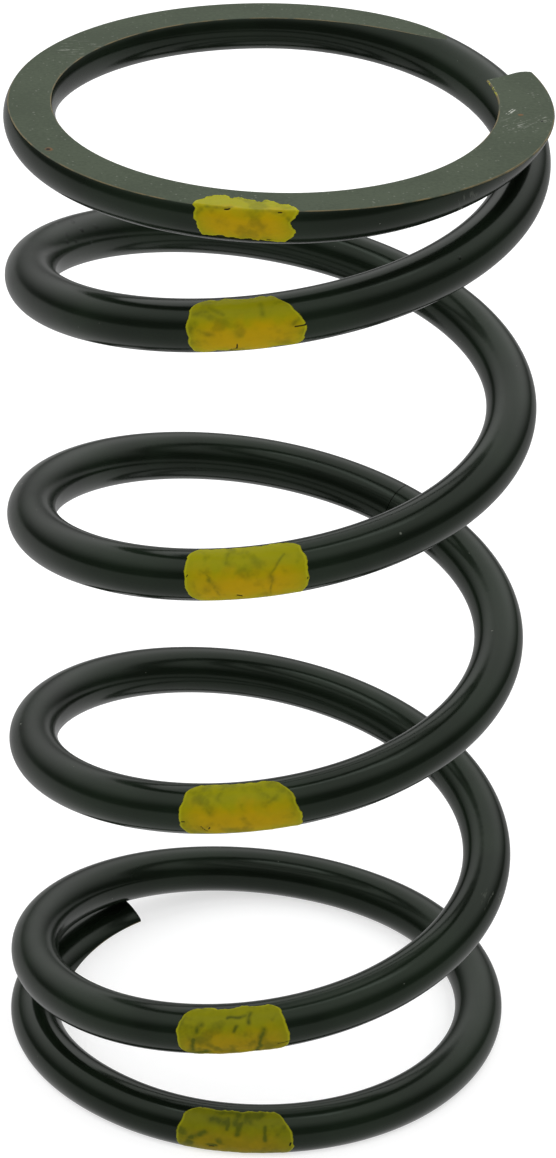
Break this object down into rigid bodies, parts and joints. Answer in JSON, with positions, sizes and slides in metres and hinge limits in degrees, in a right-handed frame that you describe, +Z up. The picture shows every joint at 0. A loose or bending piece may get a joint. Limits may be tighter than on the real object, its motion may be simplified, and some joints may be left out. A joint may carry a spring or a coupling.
{
  "type": "helical compression spring",
  "caption": "Right-handed round-wire compression spring with closed, ground end coils, dark paint and a yellow paint dab on each turn.",
  "frame": {"origin": "on the spring's axis, in the lower ground face that it stands on", "axes": "+Z up along the spring's axis; the painted dabs face -Y"},
  "size_m": [0.06, 0.0601, 0.12],
  "materials": {
    "painted_wire": "gloss dark green-black enamel",
    "yellow_dab": "brushed gloss marking paint"
  },
  "bodies": {
    "bottom_end_coil": {"bottom_end_coil": "painted_wire", "paint_dab_1": "yellow_dab"},
    "coil_arc_01": {"coil_arc_01": "painted_wire"},
    "coil_arc_02": {"coil_arc_02": "painted_wire", "paint_dab_2": "yellow_dab"},
    "coil_arc_03": {"coil_arc_03": "painted_wire"},
    "coil_arc_04": {"coil_arc_04": "painted_wire"},
    "coil_arc_05": {"coil_arc_05": "painted_wire"},
    "coil_arc_06": {"coil_arc_06": "painted_wire", "paint_dab_3": "yellow_dab"},
    "coil_arc_07": {"coil_arc_07": "painted_wire"},
    "coil_arc_08": {"coil_arc_08": "painted_wire"},
    "coil_arc_09": {"coil_arc_09": "painted_wire"},
    "coil_arc_10": {"coil_arc_10": "painted_wire", "paint_dab_4": "yellow_dab"},
    "coil_arc_11": {"coil_arc_11": "painted_wire"},
    "coil_arc_12": {"coil_arc_12": "painted_wire"},
    "coil_arc_13": {"coil_arc_13": "painted_wire"},
    "coil_arc_14": {"coil_arc_14": "painted_wire", "paint_dab_5": "yellow_dab"},
    "top_end_coil": {"top_end_coil": "painted_wire", "paint_dab_6": "yellow_dab"}
  },
  "joints": [
    {"name": "compression", "type": "slide", "parent": "bottom_end_coil", "child": "top_end_coil", "axis": [0, 0, 1], "range_m": [-0.076, 0], "stiffness_N_per_m": 17700},
    {"name": "wire_twist_01", "type": "hinge", "parent": "bottom_end_coil", "child": "coil_arc_01", "pos_m": [-0.01727, 0.02095, 0.00506], "axis": [-0.7702, -0.6349, 0.0614], "range_deg": [-7.93, 0]},
    {"name": "wire_twist_02", "type": "hinge", "parent": "coil_arc_01", "child": "coil_arc_02", "pos_m": [-0.01083, -0.0249, 0.01467], "axis": [0.9169, -0.3987, 0.016], "range_deg": [-7.2, 0]},
    {"name": "wire_twist_03", "type": "hinge", "parent": "coil_arc_02", "child": "coil_arc_03", "pos_m": [0.02052, -0.01778, 0.02071], "axis": [0.6545, 0.7552, 0.036], "range_deg": [-11.33, 0]},
    {"name": "wire_twist_04", "type": "hinge", "parent": "coil_arc_03", "child": "coil_arc_04", "pos_m": [0.01736, 0.02087, 0.0283], "axis": [-0.765, 0.6362, 0.1004], "range_deg": [-11.33, 0]},
    {"name": "wire_twist_05", "type": "hinge", "parent": "coil_arc_04", "child": "coil_arc_05", "pos_m": [-0.02122, 0.01693, 0.03589], "axis": [-0.6223, -0.7799, 0.0669], "range_deg": [-11.33, 0]},
    {"name": "wire_twist_06", "type": "hinge", "parent": "coil_arc_05", "child": "coil_arc_06", "pos_m": [-0.0165, -0.02156, 0.04347], "axis": [0.7942, -0.6076, 0.002], "range_deg": [-11.33, 0]},
    {"name": "wire_twist_07", "type": "hinge", "parent": "coil_arc_06", "child": "coil_arc_07", "pos_m": [0.02189, -0.01605, 0.05106], "axis": [0.5909, 0.8058, 0.039], "range_deg": [-11.33, 0]},
    {"name": "wire_twist_15", "type": "hinge", "parent": "top_end_coil", "child": "coil_arc_14", "pos_m": [0.02589, 0.00816, 0.11532], "axis": [0.3, -0.9516, -0.0664], "range_deg": [-7.93, 0]},
    {"name": "wire_twist_14", "type": "hinge", "parent": "coil_arc_14", "child": "coil_arc_13", "pos_m": [-0.01278, -0.02395, 0.10416], "axis": [-0.8823, 0.4708, -0.0005], "range_deg": [-11.33, 0]},
    {"name": "wire_twist_13", "type": "hinge", "parent": "coil_arc_13", "child": "coil_arc_12", "pos_m": [-0.02369, 0.01327, 0.09657], "axis": [0.4878, 0.871, -0.059], "range_deg": [-11.33, 0]},
    {"name": "wire_twist_12", "type": "hinge", "parent": "coil_arc_12", "child": "coil_arc_11", "pos_m": [0.01375, 0.02341, 0.08899], "axis": [0.8578, -0.5036, -0.1022], "range_deg": [-11.33, 0]},
    {"name": "wire_twist_11", "type": "hinge", "parent": "coil_arc_11", "child": "coil_arc_10", "pos_m": [0.02313, -0.01422, 0.0814], "axis": [-0.5233, -0.8511, -0.0428], "range_deg": [-11.33, 0]},
    {"name": "wire_twist_10", "type": "hinge", "parent": "coil_arc_10", "child": "coil_arc_09", "pos_m": [-0.01469, -0.02283, 0.07382], "axis": [-0.841, 0.541, -0.001], "range_deg": [-11.33, 0]},
    {"name": "wire_twist_09", "type": "hinge", "parent": "coil_arc_09", "child": "coil_arc_08", "pos_m": [-0.02253, 0.01515, 0.06623], "axis": [0.5569, 0.8282, -0.0624], "range_deg": [-11.33, 0]}
  ],
  "couplings": [
    {"joint": "wire_twist_01", "follows": "compression", "rad_per_m": 1.8194},
    {"joint": "wire_twist_02", "follows": "compression", "rad_per_m": 1.652},
    {"joint": "wire_twist_03", "follows": "compression", "rad_per_m": 2.5991},
    {"joint": "wire_twist_04", "follows": "compression", "rad_per_m": 2.5991},
    {"joint": "wire_twist_05", "follows": "compression", "rad_per_m": 2.5991},
    {"joint": "wire_twist_06", "follows": "compression", "rad_per_m": 2.5991},
    {"joint": "wire_twist_07", "follows": "compression", "rad_per_m": 2.5991},
    {"joint": "wire_twist_15", "follows": "compression", "rad_per_m": 1.8194},
    {"joint": "wire_twist_14", "follows": "compression", "rad_per_m": 2.5991},
    {"joint": "wire_twist_13", "follows": "compression", "rad_per_m": 2.5991},
    {"joint": "wire_twist_12", "follows": "compression", "rad_per_m": 2.5991},
    {"joint": "wire_twist_11", "follows": "compression", "rad_per_m": 2.5991},
    {"joint": "wire_twist_10", "follows": "compression", "rad_per_m": 2.5991},
    {"joint": "wire_twist_09", "follows": "compression", "rad_per_m": 2.5991}
  ]
}
